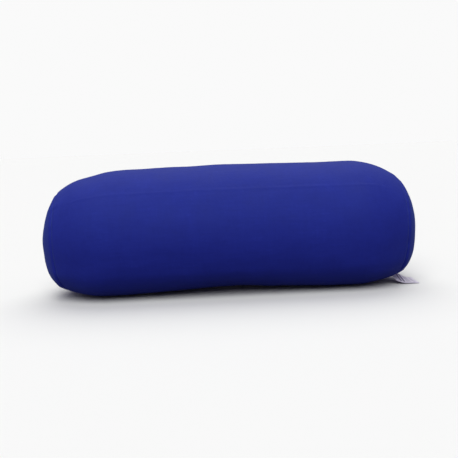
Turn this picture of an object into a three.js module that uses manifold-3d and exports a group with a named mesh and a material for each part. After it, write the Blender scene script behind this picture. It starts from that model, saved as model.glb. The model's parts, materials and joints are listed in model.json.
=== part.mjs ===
// Neck roll pillow: a stretch cover with a zip along its back, a sewn liner and a bead fill.
// Millimetres, +Z up. The origin is the middle of the flat underside, +X runs along the roll
// to the end with the care label, -Y is the front and +Y is the side with the zip.
import * as THREE from "three";
import { mergeVertices } from "three/addons/utils/BufferGeometryUtils.js";
import Module from "manifold-3d";

// ---- driving dimensions ----

const LENGTH = 380; // tip to tip of the two end panels
const DIAMETER = 132; // of the round part of the section
const SLUMP = 5; // how far the weight presses the underside in
const SEAM_RADIUS = 48; // of the seam round each end panel
const END_BULGE = 17; // how far an end panel stands out past its seam
const SHOULDER_LENGTH = 50; // from the straight barrel to the end seam, along X
const SHOULDER_SLOPE = THREE.MathUtils.degToRad(35); // of the cover as it meets the seam

const COVER_THICKNESS = 0.8;
const COVER_ROOM = 2.2; // between cover and liner, for seam allowances and the back of the zip
const LINER_THICKNESS = 0.6;
const LINER_SEAM_THICKNESS = 0.6;
const PIECE_GAP = 0.3; // between two pieces that touch
const SEAM_ALLOWANCE = 6; // each side of a seam
const LINER_ALLOWANCE = 5;
const CLOSING_SEAM_LENGTH = 200; // where the liner was sewn shut after filling

const ZIP_LENGTH = 200; // of the coil, from stop to stop
const ZIP_SLOT_WIDTH = 8; // between the folded edges of the cover
const TAPE_WIDTH = 11;
const TAPE_THICKNESS = 0.4;
const TAPE_TAIL = 8; // the tape runs on past each end of the coil
const TAPE_SPLIT = 1.8; // between the two tapes
const COIL_WIDTH = 2;
const COIL_THICKNESS = 1.2;
const STOP_LENGTH = 2;
const STITCH_MARGIN = 1.5; // from the folded edge to the row of stitches
const STITCH_WIDTH = 0.5;
const STITCH_THICKNESS = 0.35;

const SLIDER_LENGTH = 9;
const SLIDER_WEB = 0.6; // the thin wall that parts the two coils
const SLIDER_WEB_LENGTH = 3;
const SLIDER_FLANGE = 0.6;
const SLIDER_TOP = 0.8;
const SLIDER_BACK = 0.6;
const SLIDER_NECK = 0.75; // width of the narrow end over the wide end
const BRIDGE_LENGTH = 6;
const BRIDGE_WIDTH = 1.2;
const BRIDGE_WALL = 0.8;
const BRIDGE_HEIGHT = 2.6;
const PULL_LENGTH = 24;
const PULL_WIDTH = 6.5;
const PULL_TIP_WIDTH = 5;
const PULL_THICKNESS = 1;
const PULL_BAR = 1.2; // the bar that turns under the bridge

const LABEL_WIDTH = 25;
const LABEL_REACH = 21; // from the seam to the free edge, along X
const LABEL_THICKNESS = 0.6; // satin ribbon folded double
const LABEL_TURN = THREE.MathUtils.degToRad(15); // round the seam from its lowest point to the front

const AROUND = 24; // flats round the roll, one of them facing straight up, down, front and back
const SHOULDER_STEPS = 5;
const END_STEPS = 5;
const LABEL_STEPS = 8;

// ---- worked out from those ----

const RADIUS = DIAMETER / 2;
const AXIS_HEIGHT = RADIUS - SLUMP;
const SEAM_X = LENGTH / 2 - END_BULGE;
const BARREL_X = SEAM_X - SHOULDER_LENGTH;
const SEAM_DEPTH = COVER_THICKNESS + PIECE_GAP;
const SEAM_THICKNESS = COVER_ROOM - 2 * PIECE_GAP;
const LINER_DEPTH = COVER_THICKNESS + COVER_ROOM;
const LINER_SEAM_DEPTH = LINER_DEPTH + LINER_THICKNESS + PIECE_GAP;
const FILL_DEPTH = LINER_SEAM_DEPTH + LINER_SEAM_THICKNESS + PIECE_GAP;

// ---- materials ----

function finish(color, roughness, metalness = 0) {
  return new THREE.MeshStandardMaterial({ color, roughness, metalness });
}

const coverCloth = finish(0x26307f, 0.7);
const seamThread = finish(0x1c2466, 0.8);
const linerCloth = finish(0xe9e9ea, 0.85);
const beads = finish(0xf6f6f6, 0.6);
const zipTape = finish(0x222c74, 0.8);
const zipCoil = finish(0x1d2668, 0.45);
const sliderPaint = finish(0x27317c, 0.4, 0.4);
const labelSatin = finish(0xe6e2ee, 0.45);

// ---- solids ----

const wasm = await Module();
wasm.setup();

function toSolid(geometry) {
  const bare = geometry.clone();
  bare.deleteAttribute("normal");
  bare.deleteAttribute("uv");
  const merged = mergeVertices(bare, 1e-4);
  const vertProperties = new Float32Array(merged.getAttribute("position").array);
  const corners = merged.getIndex().array;
  const triVerts = [];
  for (let i = 0; i < corners.length; i += 3) {
    const [a, b, c] = corners.slice(i, i + 3);
    if (a !== b && b !== c && c !== a) {
      triVerts.push(a, b, c);
    }
  }
  return new wasm.Manifold(
    new wasm.Mesh({ numProp: 3, vertProperties, triVerts: new Uint32Array(triVerts) }),
  );
}

function toGeometry(solid) {
  const mesh = solid.getMesh();
  const geometry = new THREE.BufferGeometry();
  geometry.setAttribute("position", new THREE.BufferAttribute(mesh.vertProperties, 3));
  geometry.setIndex(new THREE.BufferAttribute(mesh.triVerts, 1));
  geometry.computeVertexNormals();
  return geometry;
}

function piece(name, geometry, material) {
  const mesh = new THREE.Mesh(geometry, material);
  mesh.name = name;
  return mesh;
}

// A box between two corners, each given as [x, y, z].
function block(low, high) {
  const size = high.map((value, i) => value - low[i]);
  const box = new THREE.BoxGeometry(...size);
  box.translate(...high.map((value, i) => (value + low[i]) / 2));
  return box;
}

// ---- the outline of the roll, in the half plane above its axis ----
// A place on it is a signed distance from the end seam: below zero on the shoulder, above
// zero on the end panel. The panel is a cap of a sphere, and the two meet at a blunt crease.

const EDGE_SLOPE = 2 * Math.atan(END_BULGE / SEAM_RADIUS);
const CAP_RADIUS = SEAM_RADIUS / Math.sin(EDGE_SLOPE);
const CAP_LENGTH = CAP_RADIUS * EDGE_SLOPE;
const shoulder = new THREE.QuadraticBezierCurve(
  new THREE.Vector2(BARREL_X, RADIUS),
  new THREE.Vector2(SEAM_X - (RADIUS - SEAM_RADIUS) / Math.tan(SHOULDER_SLOPE), RADIUS),
  new THREE.Vector2(SEAM_X, SEAM_RADIUS),
);
const SHOULDER_RUN = shoulder.getLength();
const CREASE = SHOULDER_SLOPE / 2 + (Math.PI / 2 - EDGE_SLOPE) / 2; // its mean slope
const creaseInward = new THREE.Vector2(-Math.sin(CREASE), -Math.cos(CREASE));

// The point of the outer face, and the direction straight in from it.
function outerFace(distance) {
  if (distance > 0) {
    const angle = Math.max(0, EDGE_SLOPE - distance / CAP_RADIUS);
    const outward = new THREE.Vector2(Math.cos(angle), Math.sin(angle));
    const point = outward.clone().multiplyScalar(CAP_RADIUS);
    point.x += LENGTH / 2 - CAP_RADIUS;
    return { point, inward: outward.negate() };
  }
  const along = Math.max(0, 1 + distance / SHOULDER_RUN);
  const tangent = shoulder.getTangentAt(along);
  return { point: shoulder.getPointAt(along), inward: new THREE.Vector2(tangent.y, -tangent.x) };
}

function layerPoint(distance, depth) {
  const face = outerFace(distance);
  const inward = distance === 0 ? creaseInward : face.inward;
  return face.point.addScaledVector(inward, depth);
}

function spaced(from, to, steps) {
  return Array.from({ length: steps + 1 }, (_, i) => THREE.MathUtils.lerp(from, to, i / steps));
}

// ---- layers of the roll: one inside another, each at its depth below the cover's face ----

// Turns one side of an outline, from the middle of the roll to the axis, and its mirror image.
function turned(points) {
  const widened = points.map((p) => new THREE.Vector2(p.y / Math.cos(Math.PI / AROUND), p.x));
  const otherEnd = widened.map((p) => new THREE.Vector2(p.x, -p.y)).reverse();
  const geometry = new THREE.LatheGeometry([...otherEnd, ...widened], AROUND, Math.PI / AROUND);
  geometry.rotateZ(-Math.PI / 2);
  return toSolid(geometry);
}

// Everything below a depth. The weight presses its underside flat.
function inside(depth) {
  const distances = [
    ...spaced(-SHOULDER_RUN, 0, SHOULDER_STEPS),
    ...spaced(0, CAP_LENGTH, END_STEPS).slice(1),
  ];
  const outline = distances.map((distance) => layerPoint(distance, depth));
  outline.at(-1).y = 0;
  const aboveTable = block(
    [-LENGTH, -DIAMETER, depth - AXIS_HEIGHT],
    [LENGTH, DIAMETER, DIAMETER],
  );
  return turned(outline).intersect(toSolid(aboveTable));
}

function shell(depth, thickness) {
  return inside(depth).subtract(inside(depth + thickness));
}

// The room between two cones that cut the outline along the crease, so far past the end seams.
function between(distance) {
  const { point } = outerFace(distance);
  const coneX = (radius) => point.x + (radius - point.y) * Math.tan(CREASE);
  const edge = new THREE.Vector2(coneX(DIAMETER), DIAMETER);
  return turned([edge, new THREE.Vector2(coneX(0), 0)]);
}

function sideOf(solid, side) {
  const half = block(
    [Math.min(0, side * LENGTH), -DIAMETER, -DIAMETER],
    [Math.max(0, side * LENGTH), DIAMETER, DIAMETER],
  );
  return solid.intersect(toSolid(half));
}

function barrelShell(depth, thickness) {
  return shell(depth, thickness).intersect(between(-PIECE_GAP / 2));
}

function endShell(side, depth, thickness) {
  return toGeometry(sideOf(shell(depth, thickness), side).subtract(between(PIECE_GAP / 2)));
}

function seamRing(side, depth, thickness, allowance) {
  const band = shell(depth, thickness).intersect(between(allowance));
  return toGeometry(sideOf(band, side).subtract(between(-allowance)));
}

// A strip along the back of the roll, between two distances along it and two across it.
function backStrip(depth, thickness, [start, end], [low, high]) {
  const room = block([start, 0, low], [end, DIAMETER, high]);
  return shell(depth, thickness).intersect(toSolid(room));
}

// ---- cover ----

const COIL_DEPTH = SEAM_DEPTH - PIECE_GAP - COIL_THICKNESS; // of the coil's outer face, below zero
const COIL_INNER = SLIDER_WEB / 2 + PIECE_GAP;
const COIL_OUTER = COIL_INNER + COIL_WIDTH;
const STOP_X = ZIP_LENGTH / 2 + PIECE_GAP;
const TAPE_END = ZIP_LENGTH / 2 + TAPE_TAIL;
const SLOT_HALF_LENGTH = STOP_X + STOP_LENGTH + ZIP_SLOT_WIDTH / 2;

// The slot that the zip is set in, with round ends.
function zipSlot() {
  const half = ZIP_SLOT_WIDTH / 2;
  const straight = SLOT_HALF_LENGTH - half;
  const outline = new THREE.Shape();
  outline.absarc(straight, 0, half, -Math.PI / 2, Math.PI / 2);
  outline.absarc(-straight, 0, half, Math.PI / 2, (3 * Math.PI) / 2);
  const slot = new THREE.ExtrudeGeometry(outline, {
    depth: 4 * COVER_THICKNESS,
    bevelEnabled: false,
    curveSegments: 6,
  });
  slot.rotateX(Math.PI / 2);
  slot.translate(0, RADIUS + 2 * COVER_THICKNESS, 0);
  return slot;
}

function coverBody() {
  return toGeometry(barrelShell(0, COVER_THICKNESS).subtract(toSolid(zipSlot())));
}

function buildCover() {
  const cover = new THREE.Group();
  cover.position.z = AXIS_HEIGHT;
  cover.add(piece("cover_body", coverBody(), coverCloth));
  for (const [end, side] of [["left", -1], ["right", 1]]) {
    const panel = endShell(side, 0, COVER_THICKNESS);
    const allowance = seamRing(side, SEAM_DEPTH, SEAM_THICKNESS, SEAM_ALLOWANCE);
    cover.add(piece("cover_end_" + end, panel, coverCloth));
    cover.add(piece("end_seam_" + end, allowance, seamThread));
  }
  return cover;
}

// The back seam of the cover runs on from each end of the zip to the end seam's allowance.
function buildBackSeams() {
  const seams = new THREE.Group();
  seams.position.z = AXIS_HEIGHT;
  const near = TAPE_END + PIECE_GAP;
  const width = [-SEAM_ALLOWANCE, SEAM_ALLOWANCE];
  for (const [end, length] of [["left", [-SEAM_X, -near]], ["right", [near, SEAM_X]]]) {
    const strip = backStrip(SEAM_DEPTH, SEAM_THICKNESS, length, width);
    const clear = strip.intersect(between(-SEAM_ALLOWANCE - PIECE_GAP));
    seams.add(piece("back_seam_" + end, toGeometry(clear), seamThread));
  }
  return seams;
}

// ---- liner and fill ----

function buildLiner() {
  const liner = new THREE.Group();
  liner.position.z = AXIS_HEIGHT;
  const barrel = toGeometry(barrelShell(LINER_DEPTH, LINER_THICKNESS));
  liner.add(piece("liner_body", barrel, linerCloth));
  for (const [end, side] of [["left", -1], ["right", 1]]) {
    const panel = endShell(side, LINER_DEPTH, LINER_THICKNESS);
    const ring = seamRing(side, LINER_SEAM_DEPTH, LINER_SEAM_THICKNESS, LINER_ALLOWANCE);
    liner.add(piece("liner_end_" + end, panel, linerCloth));
    liner.add(piece("liner_seam_" + end, ring, linerCloth));
  }
  liner.add(piece("bead_fill", toGeometry(inside(FILL_DEPTH)), beads));
  const closing = block(
    [-CLOSING_SEAM_LENGTH / 2, SEAM_DEPTH - RADIUS, -LINER_ALLOWANCE],
    [CLOSING_SEAM_LENGTH / 2, SEAM_DEPTH + SEAM_THICKNESS - RADIUS, LINER_ALLOWANCE],
  );
  liner.add(piece("liner_closing_seam", closing, linerCloth));
  return liner;
}

// ---- zip ----

const SLIDER_X = STOP_X - PIECE_GAP - SLIDER_LENGTH / 2; // closed, against the top stops
const SLIDER_FACE = PIECE_GAP - COIL_DEPTH; // underside of its top plate, out from the cover
const SLIDER_HALF_WIDTH = COIL_OUTER + PIECE_GAP + SLIDER_FLANGE;
const BRIDGE_CROWN = SLIDER_FACE + SLIDER_TOP + BRIDGE_HEIGHT;
const BRIDGE_ROOM = BRIDGE_HEIGHT - BRIDGE_WALL;
const PULL_OUT = SLIDER_FACE + SLIDER_TOP + BRIDGE_ROOM / 2; // the axis that the pull turns on

function zipHalf(zip, half, side) {
  const across = (from, to) => [side * from, side * to].sort((a, b) => a - b);
  const reach = across(TAPE_SPLIT / 2, TAPE_SPLIT / 2 + TAPE_WIDTH);
  const tape = toGeometry(backStrip(SEAM_DEPTH, TAPE_THICKNESS, [-TAPE_END, TAPE_END], reach));
  tape.translate(0, -RADIUS, 0);
  const [coilLow, coilHigh] = across(COIL_INNER, COIL_OUTER);
  const coilBack = -COIL_DEPTH - COIL_THICKNESS;
  const coil = block(
    [-ZIP_LENGTH / 2, coilBack, coilLow],
    [ZIP_LENGTH / 2, -COIL_DEPTH, coilHigh],
  );
  const stop = block(
    [STOP_X, coilBack, coilLow],
    [STOP_X + STOP_LENGTH, -COIL_DEPTH, coilHigh],
  );
  const row = ZIP_SLOT_WIDTH / 2 + STITCH_MARGIN;
  const [rowLow, rowHigh] = across(row, row + STITCH_WIDTH);
  const stitching = block(
    [-SLOT_HALF_LENGTH, PIECE_GAP, rowLow],
    [SLOT_HALF_LENGTH, PIECE_GAP + STITCH_THICKNESS, rowHigh],
  );
  zip.add(piece("zip_tape_" + half, tape, zipTape));
  zip.add(piece("zip_coil_" + half, coil, zipCoil));
  zip.add(piece("zip_top_stop_" + half, stop, sliderPaint));
  zip.add(piece("zip_stitching_" + half, stitching, seamThread));
}

// A plate of the slider in the XZ plane: a shield, narrow at the end that leads when opening.
function sliderPlate(thickness, out) {
  const half = SLIDER_LENGTH / 2;
  const neck = SLIDER_HALF_WIDTH * SLIDER_NECK;
  const outline = new THREE.Shape();
  outline.moveTo(-half, -neck);
  outline.quadraticCurveTo(0, -neck, half / 2, -SLIDER_HALF_WIDTH);
  outline.lineTo(half, -neck);
  outline.lineTo(half, neck);
  outline.lineTo(half / 2, SLIDER_HALF_WIDTH);
  outline.quadraticCurveTo(0, neck, -half, neck);
  const plate = new THREE.ExtrudeGeometry(outline, {
    depth: thickness,
    bevelEnabled: false,
    curveSegments: 4,
  });
  plate.rotateX(Math.PI / 2);
  plate.translate(0, out + thickness, 0);
  return plate;
}

function sliderGeometry() {
  const half = SLIDER_LENGTH / 2;
  const backFace = -SEAM_DEPTH - TAPE_THICKNESS - PIECE_GAP;
  const coilBack = -COIL_DEPTH - COIL_THICKNESS;
  let slider = toSolid(sliderPlate(SLIDER_TOP, SLIDER_FACE));
  slider = slider.add(toSolid(sliderPlate(SLIDER_BACK, backFace - SLIDER_BACK)));
  const web = block(
    [half - SLIDER_WEB_LENGTH, backFace - SLIDER_BACK / 2, -SLIDER_WEB / 2],
    [half, SLIDER_FACE + SLIDER_TOP / 2, SLIDER_WEB / 2],
  );
  slider = slider.add(toSolid(web));
  for (const side of [-1, 1]) {
    const edges = [side * (SLIDER_HALF_WIDTH - SLIDER_FLANGE), side * SLIDER_HALF_WIDTH];
    const flange = block(
      [-half / 4, coilBack, Math.min(...edges)],
      [half / 2, SLIDER_FACE + SLIDER_TOP / 2, Math.max(...edges)],
    );
    slider = slider.add(toSolid(flange));
  }
  const plateTop = SLIDER_FACE + SLIDER_TOP;
  const bridge = block(
    [-BRIDGE_LENGTH / 2, plateTop - SLIDER_TOP / 2, -BRIDGE_WIDTH / 2],
    [BRIDGE_LENGTH / 2, BRIDGE_CROWN, BRIDGE_WIDTH / 2],
  );
  const eye = block(
    [BRIDGE_WALL - BRIDGE_LENGTH / 2, plateTop, -BRIDGE_WIDTH],
    [BRIDGE_LENGTH / 2 - BRIDGE_WALL, plateTop + BRIDGE_ROOM, BRIDGE_WIDTH],
  );
  slider = slider.add(toSolid(bridge)).subtract(toSolid(eye));
  return toGeometry(slider);
}

// The pull lies along -X from the bar that turns under the bridge. Its window lets the two
// arms pass on each side of the bridge.
function pullGeometry() {
  const root = PULL_WIDTH / 2;
  const tip = PULL_TIP_WIDTH / 2;
  const outline = new THREE.Shape();
  outline.moveTo(PULL_BAR / 2, -root);
  outline.lineTo(PULL_BAR / 2, root);
  outline.lineTo(tip - PULL_LENGTH, tip);
  outline.absarc(tip - PULL_LENGTH, 0, tip, Math.PI / 2, (3 * Math.PI) / 2);
  const armGap = BRIDGE_WIDTH / 2 + PIECE_GAP;
  const windowEnd = -Math.hypot(BRIDGE_LENGTH / 2, BRIDGE_HEIGHT) - PIECE_GAP;
  const opening = new THREE.Path();
  opening.moveTo(-PULL_BAR / 2, -armGap);
  opening.lineTo(windowEnd, -armGap);
  opening.lineTo(windowEnd, armGap);
  opening.lineTo(-PULL_BAR / 2, armGap);
  outline.holes.push(opening);
  const pull = new THREE.ExtrudeGeometry(outline, {
    depth: PULL_THICKNESS,
    bevelEnabled: false,
    curveSegments: 6,
  });
  pull.rotateX(Math.PI / 2);
  pull.translate(0, PULL_THICKNESS / 2, 0);
  return pull;
}

function buildZip() {
  const zip = new THREE.Group();
  zip.position.set(0, RADIUS, AXIS_HEIGHT);
  zipHalf(zip, "upper", 1);
  zipHalf(zip, "lower", -1);
  const bottomStop = block(
    [-STOP_X - STOP_LENGTH, -COIL_DEPTH - COIL_THICKNESS, -COIL_OUTER],
    [-STOP_X, -COIL_DEPTH, COIL_OUTER],
  );
  zip.add(piece("zip_bottom_stop", bottomStop, sliderPaint));
  const slider = piece("zip_slider", sliderGeometry(), sliderPaint);
  slider.position.x = SLIDER_X;
  const pull = piece("zip_pull", pullGeometry(), sliderPaint);
  pull.position.set(SLIDER_X, PULL_OUT, 0);
  zip.add(slider, pull);
  return zip;
}

// ---- care label ----

// The ribbon leaves the right end seam square to the cover and bends down onto the table. At
// the seam it slants with the seam, and at its free edge it lies level.
function buildLabel() {
  const standOff = PIECE_GAP + LABEL_THICKNESS;
  const exit = SEAM_RADIUS + standOff * Math.cos(CREASE);
  const rootX = SEAM_X + standOff * Math.sin(CREASE);
  const rootY = -exit * Math.sin(LABEL_TURN);
  const rootZ = AXIS_HEIGHT - exit * Math.cos(LABEL_TURN);
  const restZ = PIECE_GAP + LABEL_THICKNESS / 2;
  const bendX = rootX + (rootZ - restZ) * Math.tan(CREASE);
  const centre = new THREE.QuadraticBezierCurve(
    new THREE.Vector2(rootX, rootZ),
    new THREE.Vector2(bendX, restZ),
    new THREE.Vector2(rootX + LABEL_REACH, restZ),
  );
  const face = [];
  const back = [];
  for (let i = 0; i <= LABEL_STEPS; i++) {
    const point = centre.getPointAt(i / LABEL_STEPS);
    const tangent = centre.getTangentAt(i / LABEL_STEPS);
    const normal = new THREE.Vector2(-tangent.y, tangent.x).multiplyScalar(LABEL_THICKNESS / 2);
    face.push(point.clone().add(normal));
    back.unshift(point.clone().sub(normal));
  }
  const ribbon = new THREE.ExtrudeGeometry(new THREE.Shape([...back, ...face]), {
    depth: LABEL_WIDTH * Math.cos(LABEL_TURN),
    bevelEnabled: false,
  });
  ribbon.rotateX(Math.PI / 2);
  ribbon.translate(0, rootY + (LABEL_WIDTH * Math.cos(LABEL_TURN)) / 2, 0);
  const position = ribbon.getAttribute("position");
  for (let i = 0; i < position.count; i++) {
    const left = THREE.MathUtils.clamp(1 - (position.getX(i) - rootX) / LABEL_REACH, 0, 1);
    const slant = (rootY - position.getY(i)) * Math.tan(LABEL_TURN) * left;
    const lift = (LABEL_WIDTH / 2) * Math.sin(LABEL_TURN) * left * (1 - left);
    position.setZ(i, position.getZ(i) + slant + lift);
  }
  return piece("care_label", ribbon, labelSatin);
}

// ---- the pillow ----

const pillow = new THREE.Group();
pillow.add(buildCover(), buildBackSeams(), buildLiner(), buildZip(), buildLabel());

export default pillow;
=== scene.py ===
import json
import math

import bpy
import numpy as np
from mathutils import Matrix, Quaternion, Vector, kdtree, noise


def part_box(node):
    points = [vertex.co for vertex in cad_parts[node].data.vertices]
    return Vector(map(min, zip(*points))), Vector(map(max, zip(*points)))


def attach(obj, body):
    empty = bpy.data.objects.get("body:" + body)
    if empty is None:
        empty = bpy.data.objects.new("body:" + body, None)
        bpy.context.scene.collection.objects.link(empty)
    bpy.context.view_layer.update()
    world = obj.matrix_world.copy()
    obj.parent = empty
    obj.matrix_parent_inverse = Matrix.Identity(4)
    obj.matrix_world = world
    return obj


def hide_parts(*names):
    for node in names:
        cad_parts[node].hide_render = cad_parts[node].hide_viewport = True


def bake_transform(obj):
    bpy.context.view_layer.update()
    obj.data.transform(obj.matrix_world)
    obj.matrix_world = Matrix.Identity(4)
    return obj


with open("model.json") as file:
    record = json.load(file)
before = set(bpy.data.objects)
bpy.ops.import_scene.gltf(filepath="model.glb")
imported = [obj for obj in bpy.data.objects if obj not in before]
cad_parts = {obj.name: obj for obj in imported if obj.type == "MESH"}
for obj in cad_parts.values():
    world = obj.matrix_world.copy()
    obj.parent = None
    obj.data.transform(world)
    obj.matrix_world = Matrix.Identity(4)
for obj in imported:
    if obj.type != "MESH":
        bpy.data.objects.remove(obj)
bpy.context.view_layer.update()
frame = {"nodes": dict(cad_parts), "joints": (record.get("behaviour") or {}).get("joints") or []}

MM = 0.001
SIDES = [("left", -1), ("right", 1)]
HALVES = [("upper", 1), ("lower", -1)]

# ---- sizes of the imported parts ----

body_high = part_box("cover_body")[1]
end_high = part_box("cover_end_right")[1]
RADIUS = body_high.y
AXIS_HEIGHT = body_high.z - RADIUS
CROWN = body_high.z
TIP_X = end_high.x
SEAM_X = body_high.x
SEAM_RADIUS = end_high.y

# ---- how the sewn roll is shaped ----

SHOULDER = 50 * MM  # from the straight barrel to the end seam, along x
SHOULDER_SLOPE = math.radians(35)  # of the cover as it meets the seam
TIP_HEIGHT = 54 * MM  # the beads settle, so the tips hang below the axis
SQUARENESS = 2.5  # of the lower half of the section, where the weight flattens it
UNDERSIDE_SAG = 0.64
RIGHT_FULLNESS = 0.16  # the right end is packed fuller than the left
SEAM_TUCK = 13 * MM  # the end seams slip in under the roll
TUCK_LENGTH = 22 * MM
BOW_X = -3 * MM
BOW_LENGTH = 46 * MM
BOW_UNDER = 6.3 * MM  # the middle of the underside arches off the table
BOW_TOP = 1.5 * MM
HOLLOW = 3.2 * MM  # the slacker left shoulder sinks a little on top
HOLLOW_X = -137 * MM
HOLLOW_LENGTH = 13 * MM

COVER_THICKNESS = 0.8 * MM
LINER_THICKNESS = 0.6 * MM
LINER_DEPTH = 3 * MM
LINER_SEAM_DEPTH = 3.9 * MM
FILL_DEPTH = 4.8 * MM
FILL_LUMP = 0.3 * MM
FILL_LUMP_SIZE = 9 * MM
SEAM_DEPTH = 1.1 * MM
SEAM_THICKNESS = 1.6 * MM
SEAM_ALLOWANCE = 6 * MM
LINER_ALLOWANCE = 5 * MM

GROOVE_DEPTH = 1.5 * MM
GROOVE_WIDTH = 1.5 * MM
TURN_IN = 1.2 * MM  # the cloth's edge goes in past the bottom of the groove
PUCKER = 0.55 * MM
PUCKER_REACH = 5 * MM
PUCKER_SIZES = [(4.2 * MM, 0.6, 3), (8 * MM, 0.7, 5)]  # size, share, seed
LUMP = 0.45 * MM
LUMP_SIZES = [(24 * MM, 1, 7), (8 * MM, 0.35, 9)]
CREASE_TURN = math.radians(138)  # a fold line pressed in when the cover was packed
CREASE_HEIGHT = 0.3 * MM
CREASE_WIDTH = 1.1 * MM
CREASE_ROOM = 5 * MM  # to each side of the crease the cloth has finer rows
SWELL_ROOM = 0.15 * MM  # the cloth starts this much too small, and the fill pushes it out
SWELL_CAP = 0.8 * MM
SWELL_FRAMES = 20
SWELL_GRID = 5 * MM
SWELL_NEIGHBOURS = 8
FILL_PRESSURE = 60
SEWN_WITHIN = 6 * MM  # of a seam, where the cloth is held
RESTS_BELOW = 5 * MM

# ---- zip ----

ZIP_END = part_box("zip_coil_upper")[1].x
ZIP_Z = AXIS_HEIGHT
STOP_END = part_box("zip_top_stop_upper")[1].x
SLOT_EDGE = 4 * MM  # half the opening that shows the coil
SLOT_PULL = 26 * MM  # how far from its edge the cloth is drawn in beyond the zip
HEM = 0.9 * MM
TAPE_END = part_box("zip_tape_upper")[1].x
TAPE_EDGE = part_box("zip_tape_upper")[1].z - ZIP_Z
TAPE_THICKNESS = 0.4 * MM
STITCH_ROW = (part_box("zip_stitching_upper")[0].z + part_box("zip_stitching_upper")[1].z) / 2 - ZIP_Z
STITCH_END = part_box("zip_stitching_upper")[1].x


# ---- helpers ----

SHARP_EDGE = math.radians(40)


def deselect():
    bpy.ops.object.select_all(action="DESELECT")


def pick(piece):
    deselect()
    piece.select_set(True)
    bpy.context.view_layer.objects.active = piece


def in_edit_mode(*steps):
    bpy.ops.object.mode_set(mode="EDIT")
    bpy.ops.mesh.select_all(action="SELECT")
    for step in steps:
        step()
    bpy.ops.object.mode_set(mode="OBJECT")


def modify(piece, kind, **settings):
    pick(piece)
    modifier = piece.modifiers.new(kind.lower(), kind)
    for name, value in settings.items():
        setattr(modifier, name, value)
    bpy.ops.object.modifier_apply(modifier=modifier.name)


def smooth(piece):
    pick(piece)
    bpy.ops.object.shade_smooth()


def smooth_between_edges(piece):
    pick(piece)
    bpy.ops.object.shade_smooth_by_angle(angle=SHARP_EDGE)


def round_edges(piece, width, from_angle, segments=3):
    modify(piece, "BEVEL", width=width, segments=segments, limit_method="ANGLE", angle_limit=from_angle)


def turn_about_y(angle):
    bpy.ops.transform.rotate(value=angle, orient_axis="Y", center_override=(0, 0, 0))


def points_of(piece):
    places = np.zeros(len(piece.data.vertices) * 3)
    piece.data.vertices.foreach_get("co", places)
    return places.reshape(-1, 3)


def put(piece, places):
    piece.data.vertices.foreach_set("co", places.ravel())
    piece.data.update()


def lay_flat(piece, across, along):
    """Writes the piece's own UV map, in metres of cloth."""
    layer = piece.data.uv_layers.active or piece.data.uv_layers.new(name="cloth")
    corners = np.zeros(len(piece.data.loops), int)
    piece.data.loops.foreach_get("vertex_index", corners)
    layer.data.foreach_set("uv", np.stack([across[corners], along[corners]], 1).ravel())


def lookup(points):
    """Finds the nearest of these points."""
    tree = kdtree.KDTree(len(points))
    for i, point in enumerate(points):
        tree.insert(point, i)
    tree.balance()
    return tree


def noise_at(places, size, seed):
    return np.array([noise.noise(Vector(place) / size + Vector((seed, 0, 0))) for place in places])


def smooth_ramp(value, start, end):
    share = np.clip((value - start) / (end - start), 0, 1)
    return share * share * (3 - 2 * share)


def rows(*stretches):
    """Stations from stretches of (start, end, step), without repeating where they meet."""
    found = []
    for start, end, step in stretches:
        count = max(1, round((end - start) / step))
        found.extend(np.linspace(start, end, count + 1)[:-1])
    return np.array(found + [stretches[-1][1]])


# ---- the outline of the roll and the way it settles ----


def outline_table():
    slope_room = (RADIUS - SEAM_RADIUS) / math.tan(SHOULDER_SLOPE)
    t = np.linspace(0, 1, 80)
    start, bend, end = SEAM_X - SHOULDER, SEAM_X - slope_room, SEAM_X
    shoulder_x = (1 - t) ** 2 * start + 2 * t * (1 - t) * bend + t * t * end
    shoulder_r = (1 - t * t) * RADIUS + t * t * SEAM_RADIUS
    bulge = TIP_X - SEAM_X
    edge_slope = 2 * math.atan(bulge / SEAM_RADIUS)
    cap_radius = SEAM_RADIUS / math.sin(edge_slope)
    angle = edge_slope * (1 - t[1:])
    cap_x = TIP_X - cap_radius * (1 - np.cos(angle))
    cap_r = cap_radius * np.sin(angle)
    x = np.concatenate([[0], shoulder_x, cap_x])
    r = np.concatenate([[RADIUS], shoulder_r, cap_r])
    run = np.concatenate([[0], np.cumsum(np.hypot(np.diff(x), np.diff(r)))])
    return run, x, r, run[len(shoulder_x)]


RUN, RUN_X, RUN_R, SEAM_RUN = outline_table()
TIP_RUN = RUN[-1]


def face(run, turn):
    """The outer face: run is the distance along the roll from its middle, over the seam to the tip.
    turn goes round from the back, over the top to the front and below."""
    x = np.sign(run) * np.interp(abs(run), RUN, RUN_X)
    radius = np.interp(abs(run), RUN, RUN_R)
    across, up = np.cos(turn), np.sin(turn)
    fuller = RIGHT_FULLNESS * smooth_ramp(x, 0.5 * SEAM_X, SEAM_X) * np.clip(up + 0.5, 0, 1)
    radius = radius + (RADIUS - radius) * radius / RADIUS * fuller
    share = radius / RADIUS
    middle = TIP_HEIGHT + (AXIS_HEIGHT - TIP_HEIGHT) * share
    top = TIP_HEIGHT + (CROWN - TIP_HEIGHT) * share
    bottom = TIP_HEIGHT * (1 - share**UNDERSIDE_SAG)
    squared = (abs(across) ** SQUARENESS + abs(up) ** SQUARENESS) ** (-1 / SQUARENESS)
    below = smooth_ramp(-np.arcsin(np.clip(up, -1, 1)), math.radians(10), math.radians(35))
    push = 1 + (squared - 1) * below
    bow = np.exp(-(((x - BOW_X) / BOW_LENGTH) ** 2) / 2)
    hollow = HOLLOW * np.exp(-(((x - HOLLOW_X) / HOLLOW_LENGTH) ** 2) / 2)
    lift = np.where(up > 0, bow * BOW_TOP - hollow, bow * BOW_UNDER) * up * up
    z = middle + np.where(up > 0, (top - middle) * up, (middle - bottom) * up * push) + lift
    return np.stack([x, radius * across * push, z], 1)


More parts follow.
